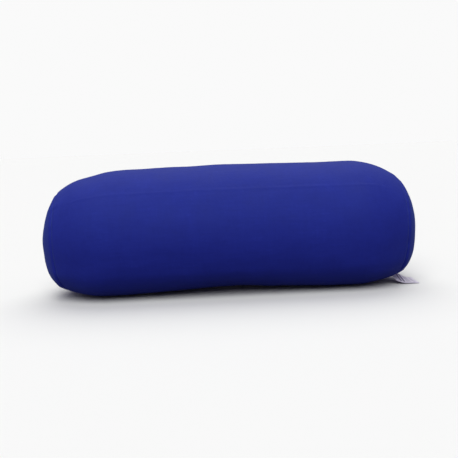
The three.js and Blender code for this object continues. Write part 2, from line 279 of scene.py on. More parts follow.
def outward(run, turn):
    """The direction straight out of the cloth."""
    step = 1.5 * MM
    run = np.clip(run, 2 * step - TIP_RUN, TIP_RUN - 2 * step)
    along = face(run + step, turn) - face(run - step, turn)
    around = face(run, turn + step / RADIUS) - face(run, turn - step / RADIUS)
    normal = np.cross(around, along)
    return normal / np.linalg.norm(normal, axis=1)[:, None]


def tucked(run, turn):
    """The seams slip a little way under the roll, and take the cloth near them along."""
    near = np.exp(-(((abs(run) - SEAM_RUN) / TUCK_LENGTH) ** 2))
    return run - np.sign(run) * SEAM_TUCK * np.clip(-np.sin(turn), 0, 1) ** 3 * near


def layer(run, turn, depth):
    run = tucked(run, turn)
    return face(run, turn) - outward(run, turn) * np.asarray(depth).reshape(-1, 1)


def from_back(turn):
    """How far round the roll a place is from the middle of the back."""
    return RADIUS * abs((turn + math.pi) % (2 * math.pi) - math.pi)


def free_to_move(run, turn):
    """0 where a seam or the zip holds the cloth, 1 well away from them."""
    from_zip = smooth_ramp(from_back(turn), 12 * MM, 34 * MM)
    from_seam = smooth_ramp(abs(abs(run) - SEAM_RUN), 2 * MM, 16 * MM)
    return from_zip * from_seam


# ---- panels, domes and closed rolls ----


def add_panel(name, runs, turns):
    """A flat grid, one column for each run and one row for each turn."""
    deselect()
    bpy.ops.mesh.primitive_grid_add(x_subdivisions=len(runs) - 1, y_subdivisions=len(turns) - 1, size=2)
    piece = bpy.context.object
    piece.name = name
    places = (points_of(piece)[:, :2] + 1) / 2
    column = np.rint(places[:, 0] * (len(runs) - 1)).astype(int)
    row = np.rint(places[:, 1] * (len(turns) - 1)).astype(int)
    return piece, column, len(turns) - 1 - row


def add_dome(name, side, segments, rings):
    """Half a sphere from its pole out to its rim. Gives each place's share of the way out, and turn."""
    deselect()
    bpy.ops.mesh.primitive_uv_sphere_add(segments=segments, ring_count=2 * rings, radius=1)
    piece = bpy.context.object
    piece.name = name
    just_inside = (-side * 0.001, 0, 0)
    in_edit_mode(
        lambda: turn_about_y(-side * math.pi / 2),
        lambda: bpy.ops.mesh.bisect(plane_co=just_inside, plane_no=(side, 0, 0), clear_inner=True),
    )
    places = points_of(piece)
    if np.sum(places[:, 0]) * side < 0:
        places[:, 0] *= -1
    out = np.arctan2(np.hypot(places[:, 1], places[:, 2]), places[:, 0] * side) / (math.pi / 2)
    turn = np.arctan2(places[:, 2], places[:, 1])
    return piece, np.clip(out, 0, 1), turn


def add_closed_roll(name, segments, rings):
    """The whole roll from tip to tip. Gives each place's run and turn."""
    deselect()
    bpy.ops.mesh.primitive_uv_sphere_add(segments=segments, ring_count=rings, radius=1)
    piece = bpy.context.object
    piece.name = name
    in_edit_mode(lambda: turn_about_y(math.pi / 2))
    places = points_of(piece)
    run = TIP_RUN * (1 - 2 * np.arccos(np.clip(places[:, 0], -1, 1)) / math.pi)
    turn = np.arctan2(places[:, 2], places[:, 1])
    return piece, run, turn


def face_outwards(piece):
    pick(piece)
    in_edit_mode(
        lambda: bpy.ops.mesh.remove_doubles(threshold=0.005 * MM),
        lambda: bpy.ops.mesh.normals_make_consistent(inside=False),
    )


def thicken(piece, thickness):
    modify(piece, "SOLIDIFY", thickness=thickness, offset=-1)
    smooth(piece)


FINISHES = {}  # each slot's material


def finish_piece(piece, body, slot, node):
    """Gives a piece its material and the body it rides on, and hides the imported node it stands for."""
    piece.data.materials.clear()
    piece.data.materials.append(FINISHES[slot])
    if body:
        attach(piece, body)
    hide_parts(node)
    return piece


# ---- shader maths ----


class Shade:
    """A socket of a material, for use in sums, differences and products."""

    def __init__(self, tree, socket):
        self.tree = tree
        self.socket = socket

    def node(self, kind, settings, inputs, output=0):
        made = self.tree.nodes.new(kind)
        for name, value in settings.items():
            setattr(made, name, value)
        for name, value in inputs.items():
            if isinstance(value, Shade):
                self.tree.links.new(value.socket, made.inputs[name])
            else:
                made.inputs[name].default_value = value
        return Shade(self.tree, made.outputs[output])

    def maths(self, operation, *values):
        return self.node("ShaderNodeMath", {"operation": operation}, dict(enumerate(values)))

    def __add__(self, other):
        return self.maths("ADD", self, other)

    def __sub__(self, other):
        return self.maths("SUBTRACT", self, other)

    def __mul__(self, other):
        return self.maths("MULTIPLY", self, other)

    def __rsub__(self, other):
        return self.maths("SUBTRACT", other, self)

    __radd__ = __add__
    __rmul__ = __mul__

    def wave(self, length):
        """0 to 1 and back over each length."""
        return self.maths("SINE", self * (2 * math.pi / length)) * 0.5 + 0.5

    def near(self, place, reach):
        return self.maths("COMPARE", self, place, reach)

    def between(self, low, high):
        """0 below low, 1 above high."""
        inputs = {"Value": self, "From Min": low, "From Max": high}
        return self.node("ShaderNodeMapRange", {"clamp": True}, inputs)

    def noise(self, size, detail=2.0):
        """Cloudy noise on this place, with patches of about this size."""
        inputs = {"Vector": self, "Scale": 1 / size, "Detail": detail, "Roughness": 0.55}
        return self.node("ShaderNodeTexNoise", {}, inputs)

    def scaled(self, x, y, z):
        """This place with its coordinates scaled: below 1, the patches of noise come out longer."""
        return self.node("ShaderNodeVectorMath", {"operation": "MULTIPLY"}, {0: self, 1: (x, y, z)})

    def part(self, axis):
        return self.node("ShaderNodeSeparateXYZ", {}, {0: self}, axis)

    def blend_colours(self, low, high):
        """One colour where this is 0 and another where it is 1."""
        made = self.tree.nodes.new("ShaderNodeMix")
        made.data_type = "RGBA"
        self.tree.links.new(self.socket, made.inputs[0])
        for slot, value in ((6, low), (7, high)):
            if isinstance(value, Shade):
                self.tree.links.new(value.socket, made.inputs[slot])
            else:
                made.inputs[slot].default_value = (*value, 1)
        return Shade(self.tree, made.outputs[2])


def start_material(name):
    """A new material, with the place in the pillow and the place on the piece's own cloth."""
    material = bpy.data.materials.new(name)
    material.use_nodes = True
    tree = material.node_tree
    places = tree.nodes.new("ShaderNodeTexCoord")
    return material, Shade(tree, places.outputs["Object"]), Shade(tree, places.outputs["UV"])


def set_surface(material, colour, roughness, height, bump_depth, **constants):
    """Joins a colour, a roughness and a height to the material's surface."""
    tree = material.node_tree
    surface = tree.nodes["Principled BSDF"]
    tree.links.new(colour.socket, surface.inputs["Base Color"])
    tree.links.new(roughness.socket, surface.inputs["Roughness"])
    bump = height.node("ShaderNodeBump", {}, {"Strength": 1.0, "Distance": bump_depth, "Height": height})
    tree.links.new(bump.socket, surface.inputs["Normal"])
    for name, value in constants.items():
        surface.inputs[name.replace("_", " ").title().replace("Ior", "IOR")].default_value = value
    return material


# ---- materials ----

COVER_BLUE = (0.0106, 0.0180, 0.262)
COVER_BLUE_PALE = (0.0145, 0.0225, 0.288)
COVER_BLUE_DEEP = (0.0078, 0.0125, 0.214)


def cover_cloth():
    """Fine spandex knit: columns of small loops, over the faint grain of the beads."""
    material, place, cloth = start_material("cover_cloth")
    columns = cloth.part(0).wave(0.7 * MM)
    courses = cloth.part(1).wave(0.9 * MM)
    loops = columns * 0.65 + courses * 0.35
    grain = place.noise(2.6 * MM, 3.0)
    patches = place.noise(28 * MM, 3.0)
    ladders = place.scaled(0.1, 1, 1).noise(2.2 * MM)
    rounds = place.scaled(1, 0.14, 0.14).noise(2.6 * MM)
    stretch = ladders.between(0.3, 0.7) * 0.6 + rounds.between(0.3, 0.7) * 0.4
    mottle = patches.between(0.3, 0.7) * 0.35 + grain.between(0.3, 0.7) * 0.15
    tone = (mottle + stretch * 0.35 + loops * 0.15).between(0.15, 0.85)
    worn = tone.between(0.72, 1.0)
    base = tone.blend_colours(COVER_BLUE_DEEP, COVER_BLUE)
    colour = (worn * 0.6).blend_colours(base, COVER_BLUE_PALE)
    roughness = 0.74 + patches * 0.1 - loops * 0.06
    height = loops * 0.25 + grain * 0.5 + stretch * 0.25
    return set_surface(
        material, colour, roughness, height, 0.22 * MM,
        specular_ior_level=0.33, specular_tint=(0.7, 1, 1, 1),
        sheen_weight=0.07, sheen_roughness=0.45, sheen_tint=(0.3, 0.6, 1, 1),
    )


def seam_thread():
    """Spun polyester thread: slanting plies."""
    material, place, _ = start_material("seam_thread")
    plies = (place.part(0) + place.part(2) * 0.6 + place.part(1) * 0.6).wave(0.35 * MM)
    fuzz = place.noise(0.3 * MM)
    colour = (plies * 0.7 + fuzz * 0.3).blend_colours((0.006, 0.009, 0.075), (0.018, 0.026, 0.19))
    roughness = 0.6 + fuzz * 0.25
    return set_surface(material, colour, roughness, plies + fuzz * 0.4, 0.12 * MM, specular_ior_level=0.2)


def liner_cloth():
    """Plain woven white lining."""
    material, place, cloth = start_material("liner_cloth")
    warp = cloth.part(0).wave(0.5 * MM)
    weft = cloth.part(1).wave(0.5 * MM)
    weave = warp * (1 - weft) + weft * (1 - warp)
    patches = place.noise(20 * MM)
    colour = (weave * 0.5 + patches * 0.5).blend_colours((0.68, 0.68, 0.70), (0.84, 0.84, 0.85))
    roughness = 0.8 + patches * 0.12
    return set_surface(material, colour, roughness, weave + patches, 0.15 * MM, specular_ior_level=0.2)


BEAD_SIZE = 1.4 * MM


def bead_foam():
    """Expanded beads, packed close, with painted shade in the gaps between them."""
    material, place, _ = start_material("bead_foam")
    inputs = {"Vector": place, "Scale": 1 / BEAD_SIZE}
    beads = place.node("ShaderNodeTexVoronoi", {"feature": "F1"}, inputs)
    patches = place.noise(6 * MM)
    # painted shade: the colour darkens from each bead's middle out into the gaps between the beads
    colour = (beads * 0.8 + patches * 0.2).blend_colours((0.93, 0.93, 0.93), (0.70, 0.70, 0.71))
    return set_surface(material, colour, 0.5 + patches * 0.2, 1 - beads, 0.5 * MM)


def zip_tape():
    """Herringbone woven tape."""
    material, place, _ = start_material("zip_tape")
    ribs = (place.part(0) + place.part(2).maths("PINGPONG", place.part(2), 1.4 * MM)).wave(0.62 * MM)
    threads = place.part(2).wave(0.4 * MM)
    dust = place.noise(3 * MM)
    tone = ribs * 0.6 + threads * 0.2 + dust * 0.2
    colour = tone.blend_colours((0.009, 0.015, 0.13), (0.026, 0.040, 0.28))
    roughness = 0.75 + dust * 0.15
    return set_surface(material, colour, roughness, ribs + threads * 0.4, 0.12 * MM, specular_ior_level=0.2)


def zip_coil():
    """Nylon filament, polished on the crowns where the slider rubs, with a painted highlight on the crowns
    and painted shade further in.
    """
    material, place, _ = start_material("zip_coil")
    crown = place.part(1).between(RADIUS - 0.2 * MM, RADIUS + 0.4 * MM)
    streaks = place.noise(0.8 * MM)
    # painted highlight: the colour is lighter on the outer crowns, with painted shade further in; only the
    # roughness carries the polish
    colour = (crown * 0.6 + streaks * 0.4).blend_colours((0.010, 0.016, 0.13), (0.034, 0.052, 0.32))
    roughness = 0.5 - crown * 0.15 + streaks * 0.1
    return set_surface(material, colour, roughness, streaks, 0.04 * MM, specular_ior_level=0.5)


def slider_paint():
    """Baked blue enamel on a cast metal slider, rubbed thin on its edges."""
    material, place, _ = start_material("slider_paint")
    tree = material.node_tree
    edges = place.node("ShaderNodeNewGeometry", {}, {}, "Pointiness").between(0.56, 0.7)
    scuffs = place.noise(1.2 * MM, 4.0)
    worn = edges * scuffs.between(0.45, 0.62)
    speckle = place.noise(0.4 * MM)
    paint = speckle.blend_colours((0.014, 0.022, 0.17), (0.026, 0.038, 0.24))
    colour = (worn * 0.8).blend_colours(paint, (0.42, 0.43, 0.45))
    tree.links.new((worn * 0.8 + 0.05).socket, tree.nodes["Principled BSDF"].inputs["Metallic"])
    return set_surface(material, colour, 0.36 + scuffs * 0.14, speckle + scuffs, 0.03 * MM)


# printed bars, in mm from the sewn edge: middle, half height, strength of the ink
LABEL_LINES = [(12.0, 0.9, 1.0), (15.4, 0.9, 1.0), (19.6, 0.45, 0.5), (22.0, 0.45, 0.5), (26.5, 0.7, 0.35)]


def label_satin(length):
    """Pale satin ribbon, printed with plain bars."""
    material, place, cloth = start_material("label_satin")
    across = cloth.part(0)
    along = cloth.part(1)
    weave = (across + along * 0.5).wave(0.3 * MM)
    tone = place.noise(5 * MM)
    ribbon = tone.blend_colours((0.76, 0.72, 0.80), (0.90, 0.87, 0.92))
    margin = across.near(0.5 * LABEL_WIDTH, 0.5 * LABEL_WIDTH - 2.2 * MM)
    breaks = place.noise(2.4 * MM).between(0.36, 0.42)
    bars = None
    for centre, half, strength in LABEL_LINES:
        for start in (centre * MM, length - centre * MM):
            bar = along.near(start, half * MM) * strength
            bars = bar if bars is None else bars + bar
    ink = bars * margin * (0.55 + breaks * 0.45)
    colour = (ink * 1.1).between(0, 1).blend_colours(ribbon, (0.10, 0.07, 0.16))
    return set_surface(
        material, colour, 0.38 + tone * 0.15, weave + tone, 0.05 * MM,
        sheen_weight=0.15, sheen_roughness=0.4,
    )


def floor_paper():
    """White to the eye, and dull to the light that the pillow gets back from it."""
    material, place, _ = start_material("floor_paper")
    seen = seen_directly(material.node_tree)
    grain = place.noise(0.3)
    paper = grain.blend_colours([0.995 * part for part in PAPER_WHITE], PAPER_WHITE)
    colour = seen.blend_colours([FLOOR_BOUNCE * part for part in FILL_TINT], paper)
    return set_surface(material, colour, 0.9 + grain * 0.05, grain, 0.01 * MM, specular_ior_level=0.0)


def seen_directly(tree):
    """1 for what the camera sees."""
    path = tree.nodes.new("ShaderNodeLightPath")
    return Shade(tree, path.outputs["Is Camera Ray"])


# ---- studio ----

CAMERA_TARGET = Vector((-0.8 * MM, 0, 61.4 * MM))
CAMERA_DISTANCE = 647 * MM
CAMERA_TURN = math.radians(-2)
CAMERA_RISE = math.radians(7.5)
CAMERA_ROLL = math.radians(-2.3)
CAMERA_LENS = 49.1
FLOOR_BOUNCE = 0.3
FILL_LIGHT = 0.24
FILL_TINT = (0.72, 0.66, 1.0)
PAPER_WHITE = (0.868, 0.880, 0.816)  # looks white once the tinted fill has fallen on it
# name, brightness, turn from the front, rise, spread
LAMPS = [("key_light", 2.15, -8, 47, 50), ("top_light", 1.45, 172, 66, 60)]
BACKDROP_WHITE = 0.955


def look_from(turn, rise):
    return Vector((math.sin(turn) * math.cos(rise), -math.cos(turn) * math.cos(rise), math.sin(rise)))


def add_camera():
    back = look_from(CAMERA_TURN, CAMERA_RISE)
    deselect()
    bpy.ops.object.camera_add(location=CAMERA_TARGET + back * CAMERA_DISTANCE)
    camera = bpy.context.object
    camera.rotation_mode = "QUATERNION"
    camera.rotation_quaternion = (-back).to_track_quat("-Z", "Y") @ Quaternion((0, 0, 1), CAMERA_ROLL)
    camera.data.lens = CAMERA_LENS
    camera.data.sensor_width = 36
    bpy.context.scene.camera = camera


def add_lights():
    for name, brightness, turn, rise, spread in LAMPS:
        deselect()
        bpy.ops.object.light_add(type="SUN", location=(0, 0, 1))
        lamp = bpy.context.object
        lamp.name = name
        lamp.data.energy = brightness
        lamp.data.angle = math.radians(spread)
        lamp.rotation_mode = "QUATERNION"
        towards = -look_from(math.radians(turn), math.radians(rise))
        lamp.rotation_quaternion = towards.to_track_quat("-Z", "Y")
    world = bpy.data.worlds.new("studio")
    bpy.context.scene.world = world
    world.use_nodes = True
    background = world.node_tree.nodes["Background"]
    seen = seen_directly(world.node_tree)
    light = seen.blend_colours([FILL_LIGHT * part for part in FILL_TINT], (BACKDROP_WHITE,) * 3)
    world.node_tree.links.new(light.socket, background.inputs["Color"])
    background.inputs["Strength"].default_value = 1
    bpy.context.scene.view_settings.view_transform = "Standard"


def add_floor():
    deselect()
    bpy.ops.mesh.primitive_plane_add(size=60, location=(0, 0, 0))
    floor = bpy.context.object
    floor.name = "floor"
    floor.data.materials.append(floor_paper())


# ---- cover ----


def swollen_cover():
    """Blows the cover up with cloth simulation: a coarse copy, held at its seams, its zip and the
    table."""
    coarse, run, turn = add_closed_roll("coarse_cover", 96, 120)
    put(coarse, layer(run, turn, SWELL_ROOM * free_to_move(run, turn)))
    face_outwards(coarse)
    modify(coarse, "REMESH", mode="VOXEL", voxel_size=SWELL_GRID)
    start = points_of(coarse)
    normals = np.array([vertex.normal[:] for vertex in coarse.data.vertices])
    sewn = lookup(sewn_lines())
    from_sewn = np.array([sewn.find(place)[2] for place in start])
    pinned = np.flatnonzero((from_sewn < SEWN_WITHIN) | (start[:, 2] < RESTS_BELOW)).tolist()
    group = coarse.vertex_groups.new(name="sewn")
    group.add(pinned, 1.0, "REPLACE")
    cloth = coarse.modifiers.new("fill_pressure", "CLOTH")
    cloth.settings.vertex_group_mass = group.name
    cloth.settings.use_pressure = True
    cloth.settings.uniform_pressure_force = FILL_PRESSURE
    cloth.settings.effector_weights.gravity = 0
    cloth.settings.quality = 5
    cloth.point_cache.frame_start = 1
    cloth.point_cache.frame_end = SWELL_FRAMES
    for step in range(SWELL_FRAMES):
        bpy.context.scene.frame_set(step + 1)
    pick(coarse)
    bpy.ops.object.modifier_apply(modifier=cloth.name)
    swell = ((points_of(coarse) - start) * normals).sum(axis=1)
    loose = np.setdiff1d(np.arange(len(start)), pinned)
    print("cloth swelled by", np.round(np.percentile(swell[loose], (0, 5, 50, 95, 100)) / MM, 2), "mm")
    swell = np.clip(swell - SWELL_ROOM, -SWELL_CAP, SWELL_CAP)
    bpy.ops.object.delete()
    bpy.context.scene.frame_set(1)
    coarse_places = lookup(start)

    def swelling(places):
        found = np.zeros(len(places))
        for i, place in enumerate(places):
            near = coarse_places.find_n(place, SWELL_NEIGHBOURS)
            weights = np.array([1 / (distance + 1.5 * MM) for _, _, distance in near])
            found[i] = weights @ swell[[index for _, index, _ in near]] / weights.sum()
        return found

    return swelling


def sewn_lines():
    """Points on the lines where the cover is sewn: both end seams and the back."""
    turns = np.linspace(0, 2 * math.pi, 120)
    runs = np.linspace(-SEAM_RUN, SEAM_RUN, 160)
    lines = [layer(np.full_like(turns, side * SEAM_RUN), turns, 0) for _, side in SIDES]
    lines.append(face(runs, np.zeros_like(runs)))
    return np.concatenate(lines)


def cover_shape(run, turn, turned_in, swelling):
    """Where the cloth lies once it is filled, sewn and creased."""
    free = free_to_move(run, turn)
    from_seam = abs(abs(run) - SEAM_RUN)
    skin = layer(run, turn, 0)
    normal = outward(tucked(run, turn), turn)
    ring = np.stack([np.cos(turn), np.sin(turn), np.sign(run)], 1)
    gather = 1 + 0.8 * smooth_ramp(-ring[:, 2] * ring[:, 1], 0.2, 1.0)
    puckers = sum(share * noise_at(ring * SEAM_RADIUS, size, seed) for size, share, seed in PUCKER_SIZES)
    depth = PUCKER * gather * puckers * np.exp(-from_seam / PUCKER_REACH)
    depth += GROOVE_DEPTH * np.exp(-((from_seam / GROOVE_WIDTH) ** 1.5))
    depth -= LUMP * free * sum(share * noise_at(skin, size, seed) for size, share, seed in LUMP_SIZES)
    crease = np.exp(-(((turn - CREASE_TURN) * RADIUS / CREASE_WIDTH) ** 2) / 2)
    fade = 1 - smooth_ramp(abs(run), 0.75 * SEAM_RUN, 0.97 * SEAM_RUN)
    wander = 0.75 + 0.5 * noise_at(skin, 40 * MM, 11)
    depth -= CREASE_HEIGHT * crease * fade * wander * free
    if swelling:
        depth -= free * swelling(skin)
    places = skin - normal * (depth + turned_in)[:, None]
    places[:, 2] = np.maximum(places[:, 2], 0.02 * MM)
    return places


def back_edge(x):
    """Half the gap between the cover's two long edges: open for the zip, shut beyond it."""
    beyond = np.clip((abs(x) - STOP_END) / SLOT_EDGE, 0, 1)
    return np.maximum(SLOT_EDGE * np.sqrt(1 - beyond**2), 0.12 * MM)


def add_cover_body(swelling):
    half_runs = rows(
        (0, 99 * MM, 3.2 * MM), (99 * MM, 110 * MM, 0.8 * MM), (110 * MM, SEAM_RUN - 12 * MM, 3 * MM),
        (SEAM_RUN - 12 * MM, SEAM_RUN - 4 * MM, 1.1 * MM), (SEAM_RUN - 4 * MM, SEAM_RUN, 0.5 * MM),
    )
    half_runs = np.append(half_runs, SEAM_RUN)
    end_in = np.zeros(len(half_runs))
    end_in[-1] = TURN_IN
    runs = np.concatenate([-half_runs[:0:-1], half_runs])
    end_in = np.concatenate([end_in[:0:-1], end_in])
    half_round = math.pi * RADIUS
    crease = CREASE_TURN * RADIUS - SLOT_EDGE
    inner = rows(
        (0, 6 * MM, 0.75 * MM), (6 * MM, 30 * MM, 2 * MM), (30 * MM, crease - CREASE_ROOM, 3.1 * MM),
        (crease - CREASE_ROOM, crease + CREASE_ROOM, 0.6 * MM),
        (crease + CREASE_ROOM, half_round - SLOT_EDGE, 3.1 * MM),
    )
    from_edge = np.concatenate([[0, 0, 0.25 * MM], inner[1:]])
    edge_in = np.zeros(len(from_edge))
    edge_in[:3] = (1.0, 0.45, 0.1)
    side = np.concatenate([np.ones(len(from_edge)), -np.ones(len(from_edge) - 1)])
    from_edge = np.concatenate([from_edge, from_edge[-2::-1]])
    edge_in = np.concatenate([edge_in, edge_in[-2::-1]])
    piece, column, row = add_panel("cover_body", runs, side)
    run = runs[column]
    x = np.sign(run) * np.interp(abs(run), RUN, RUN_X)
    pull = np.clip(1 - from_edge[row] / SLOT_PULL, 0, 1) ** 2
    reach = SLOT_EDGE + from_edge[row] + (back_edge(x) - SLOT_EDGE) * pull
    turn = np.where(side[row] > 0, reach / RADIUS, 2 * math.pi - reach / RADIUS)
    closed = smooth_ramp(abs(x), STOP_END - 2 * MM, STOP_END + SLOT_EDGE)
    hem = HEM * (1 - closed) + (GROOVE_DEPTH + TURN_IN) * closed
    groove = GROOVE_DEPTH * closed * np.exp(-((from_edge[row] / GROOVE_WIDTH) ** 1.5))
    groove *= edge_in[row] < 0.05
    turned_in = edge_in[row] * hem + groove + end_in[column]
    put(piece, cover_shape(run, turn, turned_in, swelling))
    lay_flat(piece, run, turn * RADIUS)
    thicken(piece, COVER_THICKNESS)
    return piece


def add_cover_end(name, side, swelling):
    rings = 30
    piece, out, turn = add_dome("cover_end_" + name, side, 200, rings)
    rim = out > 1 - 0.5 / rings
    out = np.where(rim, 1, np.minimum(out * rings / (rings - 1), 1))
    gap = (TIP_RUN - SEAM_RUN) * (1 - out) ** 1.35
    run = side * (SEAM_RUN + gap)
    places = cover_shape(run, turn, TURN_IN * rim, swelling)
    flat = face(run, turn)
    put(piece, places)
    lay_flat(piece, flat[:, 1], flat[:, 2])
    face_outwards(piece)
    thicken(piece, COVER_THICKNESS)
    return piece


# ---- inner layers ----


def add_band(name, runs, turns, depth, thickness, closed):
    """A strip of cloth under the cover, between two runs and two turns."""
    piece, column, row = add_panel(name, runs, turns)
    run, turn = np.asarray(runs)[column], np.asarray(turns)[row]
    put(piece, layer(run, turn, depth))
    lay_flat(piece, run, turn * RADIUS)
    if closed:
        face_outwards(piece)
    thicken(piece, thickness)
    return piece


def add_inner_dome(name, side, depth, thickness):
    piece, out, turn = add_dome(name, side, 72, 14)
    run = side * (TIP_RUN - (TIP_RUN - SEAM_RUN) * out)
    put(piece, layer(run, turn, depth))
    flat = face(run, turn)
    lay_flat(piece, flat[:, 1], flat[:, 2])
    face_outwards(piece)
    thicken(piece, thickness)
    return piece


def add_fill():
    piece, run, turn = add_closed_roll("bead_fill", 96, 100)
    skin = layer(run, turn, FILL_DEPTH)
    lumps = noise_at(skin, FILL_LUMP_SIZE, 13) * FILL_LUMP
    put(piece, layer(run, turn, FILL_DEPTH + FILL_LUMP + lumps))
    face_outwards(piece)
    smooth(piece)
    return piece


def build_inside():
    all_round = np.linspace(0, 2 * math.pi, 97)
    barrel = rows((-SEAM_RUN, SEAM_RUN, 4 * MM))
    body = add_band("liner_body", barrel, all_round, LINER_DEPTH, LINER_THICKNESS, True)
    finish_piece(body, "roll", "liner_cloth", "liner_body")
    for name, side in SIDES:
        middle = side * SEAM_RUN
        dome = add_inner_dome("liner_end_" + name, side, LINER_DEPTH, LINER_THICKNESS)
        finish_piece(dome, "roll", "liner_cloth", "liner_end_" + name)
        for kind, slot, depth, thickness, reach in (
            ("liner_seam_", "liner_cloth", LINER_SEAM_DEPTH, LINER_THICKNESS, LINER_ALLOWANCE),
            ("end_seam_", "seam_thread", SEAM_DEPTH + GROOVE_DEPTH, SEAM_THICKNESS / 4, SEAM_ALLOWANCE),
        ):
            runs = np.linspace(middle - reach, middle + reach, 9)
            band = add_band(kind + name, runs, all_round, depth, thickness, True)
            finish_piece(band, "roll", slot, kind + name)
        ends = sorted([side * (TAPE_END + 0.3 * MM), side * (SEAM_RUN - SEAM_ALLOWANCE)])
        turns = np.linspace(-SEAM_ALLOWANCE, SEAM_ALLOWANCE, 9) / RADIUS
        strip = add_band(
            "back_seam_" + name, np.linspace(*ends, 24), turns, SEAM_DEPTH + GROOVE_DEPTH,
            SEAM_THICKNESS / 4, False,
        )
        finish_piece(strip, "roll", "seam_thread", "back_seam_" + name)
    closing_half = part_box("liner_closing_seam")[1].x
    turns = math.pi + np.linspace(-LINER_ALLOWANCE, LINER_ALLOWANCE, 7) / RADIUS
    closing = add_band(
        "liner_closing_seam", np.linspace(-closing_half, closing_half, 50), turns, SEAM_DEPTH + 0.4 * MM,
        SEAM_THICKNESS / 2, False,
    )
    finish_piece(closing, "roll", "liner_cloth", "liner_closing_seam")
    finish_piece(add_fill(), "roll", "beads", "bead_fill")


# ---- zip ----


def cloth_y(across, depth):
    """y of the cover's face near the zip, at a distance across it."""
    return np.sqrt((RADIUS - depth) ** 2 - across**2)


def add_tape(half, side):
    runs = np.linspace(-TAPE_END, TAPE_END, 145)
    steps = rows((0.1 * MM, 3 * MM, 0.5 * MM), (3 * MM, TAPE_EDGE, 1.1 * MM))
    turns = np.sort(side * steps / RADIUS)
    return add_band("zip_tape_" + half, runs, turns, SEAM_DEPTH, TAPE_THICKNESS, False)


def shape_along(size, place):
    """Turns a new primitive's axis along the zip, gives it its size and takes it to its place."""
    in_edit_mode(
        lambda: turn_about_y(math.pi / 2),
        lambda: bpy.ops.transform.resize(value=size, center_override=(0, 0, 0)),
        lambda: bpy.ops.transform.translate(value=place),
    )


def repeat_along(piece, pitch, count):
    modify(
        piece, "ARRAY", count=count, use_relative_offset=False, use_constant_offset=True,
        constant_offset_displace=(pitch, 0, 0),
    )
    smooth(piece)


TOOTH_PITCH = 1.3 * MM
TOOTH_HALF = 1.5 * MM
TOOTH_PAST = 0.35 * MM  # how far each tooth reaches past the middle of the zip
FILAMENT_BEND = 0.36 * MM
FILAMENT = 0.24 * MM


def add_coil(half, side):
    """One turn of the coil, repeated along the tape."""
    deselect()
    bpy.ops.mesh.primitive_torus_add(
        major_segments=12, minor_segments=5, major_radius=FILAMENT_BEND, minor_radius=FILAMENT
    )
    piece = bpy.context.object
    piece.name = "zip_coil_" + half
    first_x = -ZIP_END + TOOTH_PITCH * (0.5 if side > 0 else 1.0)
    coil_low, coil_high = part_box("zip_coil_upper")
    first = (first_x, (coil_low.y + coil_high.y) / 2, ZIP_Z + side * (TOOTH_HALF - TOOTH_PAST))
    shape_along((1, 1, TOOTH_HALF / (FILAMENT_BEND + FILAMENT)), first)
    repeat_along(piece, TOOTH_PITCH, int(2 * ZIP_END / TOOTH_PITCH) - 1)
    return piece


STITCH_PITCH = 3.2 * MM
STITCH_SIZE = (2.5 * MM, 0.42 * MM, 0.55 * MM)
STITCH_RISE = 0.04 * MM  # of a stitch's middle above the cloth


def add_stitches(half, side):
    """One stitch that dips into the cloth at both ends, repeated along the zip."""
    deselect()
    bpy.ops.mesh.primitive_uv_sphere_add(segments=8, ring_count=8, radius=0.5)
    piece = bpy.context.object
    piece.name = "zip_stitching_" + half
    first_y = cloth_y(STITCH_ROW, 0) + STITCH_RISE
    shape_along(STITCH_SIZE, (-STITCH_END + STITCH_PITCH / 2, first_y, ZIP_Z + side * STITCH_ROW))
    repeat_along(piece, STITCH_PITCH, int(2 * STITCH_END / STITCH_PITCH))
    return piece


def add_plate(name, half_outline, low_y, high_y, edge):
    """A flat plate in the xz plane from one half of its outline, with rounded edges."""
    ring = [*half_outline, *[(x, -z) for x, z in reversed(half_outline)]]
    deselect()
    bpy.ops.mesh.primitive_circle_add(vertices=len(ring), radius=1, fill_type="NGON")
    piece = bpy.context.object
    piece.name = name
    put(piece, np.array([(x, low_y, ZIP_Z + z) for x, z in ring]))
    in_edit_mode(
        lambda: bpy.ops.mesh.extrude_region_move(TRANSFORM_OT_translate={"value": (0, high_y - low_y, 0)}),
        lambda: bpy.ops.mesh.select_all(action="SELECT"),
        lambda: bpy.ops.mesh.normals_make_consistent(inside=False),
    )
    round_edges(piece, edge, math.radians(40))
    return piece


def join(name, pieces):
    deselect()
    for piece in pieces:
        piece.select_set(True)
    bpy.context.view_layer.objects.active = pieces[0]
    bpy.ops.object.join()
    pieces[0].name = name
    smooth_between_edges(pieces[0])
    return pieces[0]


def add_slider():
    """Two shield-shaped plates over and under the coils, their side lips and the loop for the pull."""
    low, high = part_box("zip_slider")
    middle, half = (low.x + high.x) / 2, (high.x - low.x) / 2
    wide = (high.z - low.z) / 2
    neck = 0.74 * wide
    waist = [(middle - half * (1 - t), neck - 0.15 * MM * math.sin(math.pi * t)) for t in (0, 0.3, 0.6, 0.9)]
    shoulders = [(middle + half * along, wide * out) for along, out in ((0.35, 0.94), (0.6, 1), (0.85, 0.9))]
    shield = [*waist, *shoulders, (high.x, neck)]
    coil_low, coil_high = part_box("zip_coil_upper")
    top = coil_high.y + 0.3 * MM
    plates = [
        add_plate("slider_top", shield, top, top + 0.8 * MM, 0.22 * MM),
        add_plate("slider_back", shield, low.y, low.y + 0.6 * MM, 0.2 * MM),
    ]
    lip_half = 0.28 * MM
    for _, side in HALVES:
        lip = [(middle - half * 0.5, lip_half), (middle + half * 0.6, lip_half)]
        flange = add_plate("slider_lip", lip, coil_low.y, top + 0.3 * MM, 0.12 * MM)
        put(flange, points_of(flange) + np.array([0, 0, side * (wide - 0.32 * MM)]))
        plates.append(flange)
    plates.append(add_bridge(middle, top + 0.6 * MM, high.y))
    return join("zip_slider", plates)


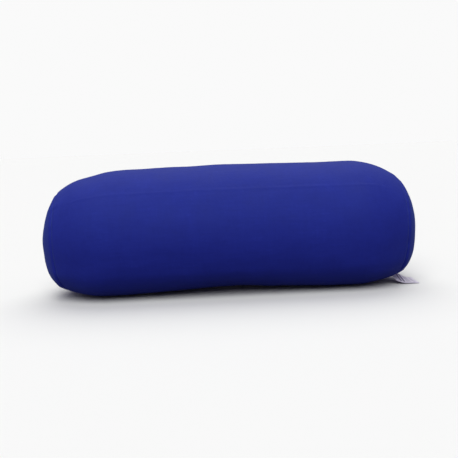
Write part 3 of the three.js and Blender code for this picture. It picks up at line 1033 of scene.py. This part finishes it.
def add_bridge(middle, foot_y, crown_y):
    """The loop over the slider that carries the pull: a bar led over an arch from its upper face."""
    deselect()
    reach = 2.6 * MM
    squareness = 0.55  # of the arch: 1 would be round
    bpy.ops.mesh.primitive_cube_add(size=1)
    piece = bpy.context.object
    bar = np.array([0.8 * MM, 0.3 * MM, 1.2 * MM])
    put(piece, points_of(piece) * bar + np.array([middle - reach, foot_y, ZIP_Z]))
    steps = 14
    height = crown_y - foot_y - bar[0] / 2

    def arch(t):
        angle = math.pi * t
        return np.array([
            middle - reach * math.copysign(abs(math.cos(angle)) ** squareness, math.cos(angle)),
            foot_y + height * abs(math.sin(angle)) ** squareness,
        ])

    bpy.ops.object.mode_set(mode="EDIT")
    bpy.ops.mesh.select_all(action="DESELECT")
    bpy.ops.object.mode_set(mode="OBJECT")
    for polygon in piece.data.polygons:
        polygon.select = polygon.normal.y > 0.5
    bpy.ops.object.mode_set(mode="EDIT")
    bpy.ops.mesh.select_mode(type="FACE")
    last = arch(0)
    heading = math.pi / 2
    for i in range(1, steps + 1):
        here = arch(i / steps)
        move = here - last
        bpy.ops.mesh.extrude_region_move(TRANSFORM_OT_translate={"value": (move[0], move[1], 0)})
        after = arch(min(1, (i + 0.5) / steps)) - arch((i - 0.5) / steps)
        turned = math.atan2(after[1], after[0])
        bpy.ops.transform.rotate(
            value=heading - turned, orient_axis="Z", center_override=(here[0], here[1], ZIP_Z)
        )
        heading = turned
        last = here
    bpy.ops.mesh.select_all(action="SELECT")
    bpy.ops.mesh.normals_make_consistent(inside=False)
    bpy.ops.object.mode_set(mode="OBJECT")
    round_edges(piece, 0.18 * MM, math.radians(50), segments=2)
    return piece


def rounded_copy(node, edge):
    """A copy of a packed metal part, with its edges rounded."""
    deselect()
    piece = bpy.data.objects.new(node + "_rounded", frame["nodes"][node].data.copy())
    bpy.context.scene.collection.objects.link(piece)
    pick(piece)
    in_edit_mode(
        lambda: bpy.ops.mesh.remove_doubles(threshold=0.002 * MM),
        lambda: bpy.ops.mesh.dissolve_limited(angle_limit=math.radians(3)),
    )
    round_edges(piece, edge, math.radians(35))
    smooth_between_edges(piece)
    return piece


def build_zip():
    for half, side in HALVES:
        finish_piece(add_tape(half, side), "roll", "zip_tape", "zip_tape_" + half)
        finish_piece(add_coil(half, side), "roll", "zip_coil", "zip_coil_" + half)
        finish_piece(add_stitches(half, side), "roll", "seam_thread", "zip_stitching_" + half)
        stop = rounded_copy("zip_top_stop_" + half, 0.2 * MM)
        finish_piece(stop, "roll", "zip_coil", "zip_top_stop_" + half)
    finish_piece(rounded_copy("zip_bottom_stop", 0.25 * MM), "roll", "zip_coil", "zip_bottom_stop")
    finish_piece(add_slider(), "slider", "slider_paint", "zip_slider")
    finish_piece(rounded_copy("zip_pull", 0.22 * MM), "pull", "slider_paint", "zip_pull")


# ---- care label ----

LABEL_HINGE = Vector(next(joint for joint in frame["joints"] if joint["name"] == "label_hinge")["pos_m"])
LABEL_TURN = math.radians(15)
LABEL_WIDTH = 25 * MM
LABEL_ROOT_Z = 9.0 * MM  # where the filled cover's seam comes to rest
LABEL_ROOT_X = LABEL_HINGE.x - 12.5 * MM  # the ribbon starts inside the tucked seam
LABEL_FALL = math.radians(27)
LABEL_REST = 0.6 * MM
LABEL_TIP_X = 190 * MM
LABEL_CLOTH = 0.18 * MM
LABEL_GAP = 0.17 * MM  # half the room between the ribbon's two layers
LABEL_TWIST = math.radians(12)
LABEL_LIFT = 1.0 * MM
LABEL_CURL = 0.7 * MM  # of the far corner


def label_line():
    """The middle of the folded ribbon, from the seam down to its fold: points and directions in xz."""
    t = np.linspace(0, 1, 25)[:, None]
    root = np.array([LABEL_ROOT_X, LABEL_ROOT_Z])
    end = np.array([LABEL_TIP_X, LABEL_REST])
    bend = np.array([root[0] + (root[1] - LABEL_REST) / math.tan(LABEL_FALL), LABEL_REST])
    places = (1 - t) ** 2 * root + 2 * t * (1 - t) * bend + t * t * end
    heading = np.gradient(places, axis=0)
    heading /= np.linalg.norm(heading, axis=1)[:, None]
    return places, heading


def build_label():
    """A ribbon folded double: out along the lower layer, round the fold and back along the upper."""
    places, heading = label_line()
    over = np.stack([-heading[:, 1], heading[:, 0]], 1)
    fold = [
        places[-1] + LABEL_GAP * (heading[-1] * math.sin(angle) + over[-1] * math.cos(angle))
        for angle in np.radians([150, 120, 90, 60, 30])
    ]
    opening = LABEL_GAP * (1 + 1.2 * np.sin(np.linspace(0, math.pi, len(places))))[:, None]
    profile = np.concatenate([places - over * LABEL_GAP, fold, (places + over * opening)[::-1]])
    runs = np.concatenate([[0], np.cumsum(np.linalg.norm(np.diff(profile, axis=0), axis=1))])
    length = float(runs[-1])
    columns = np.linspace(0, 1, 17)
    piece, column, row = add_panel("care_label", columns, runs)
    across = (columns[column] - 0.5) * LABEL_WIDTH
    x, z = profile[row].T
    gone = np.clip((x - LABEL_ROOT_X) / (LABEL_TIP_X - LABEL_ROOT_X), 0, 1)
    y = LABEL_HINGE.y + across * math.cos(LABEL_TURN)
    slope = -math.tan(LABEL_TURN) * (1 - smooth_ramp(gone, 0, 0.2))
    slope += math.tan(LABEL_TWIST) * smooth_ramp(gone, 0, 0.25) * (1 - smooth_ramp(gone, 0.35, 0.9))
    lift = LABEL_LIFT * np.sin(math.pi * gone) * (1 - gone)
    curl = LABEL_CURL * gone**3 * smooth_ramp(across, 0, LABEL_WIDTH / 2)
    z = np.maximum(z + across * slope + lift + curl, 0.25 * MM + z * 0.2)
    put(piece, np.stack([x, y, z], 1))
    lay_flat(piece, across + LABEL_WIDTH / 2, runs[row])
    modify(piece, "SOLIDIFY", thickness=LABEL_CLOTH, offset=0)
    smooth(piece)
    FINISHES["label_satin"] = label_satin(length)
    finish_piece(piece, None, "label_satin", "care_label")
    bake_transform(piece)


# ---- the pillow ----


def build_cover():
    swelling = swollen_cover()
    body = add_cover_body(swelling)
    finish_piece(body, "roll", "cover_cloth", "cover_body")
    for name, side in SIDES:
        panel = add_cover_end(name, side, swelling)
        finish_piece(panel, "roll", "cover_cloth", "cover_end_" + name)


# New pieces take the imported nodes' names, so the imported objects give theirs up.
for node, packed in frame["nodes"].items():
    packed.name = node + "_packed"

add_camera()
add_lights()
add_floor()
FINISHES.update(
    cover_cloth=cover_cloth(),
    seam_thread=seam_thread(),
    liner_cloth=liner_cloth(),
    beads=bead_foam(),
    zip_tape=zip_tape(),
    zip_coil=zip_coil(),
    slider_paint=slider_paint(),
)
build_cover()
build_inside()
build_zip()
build_label()
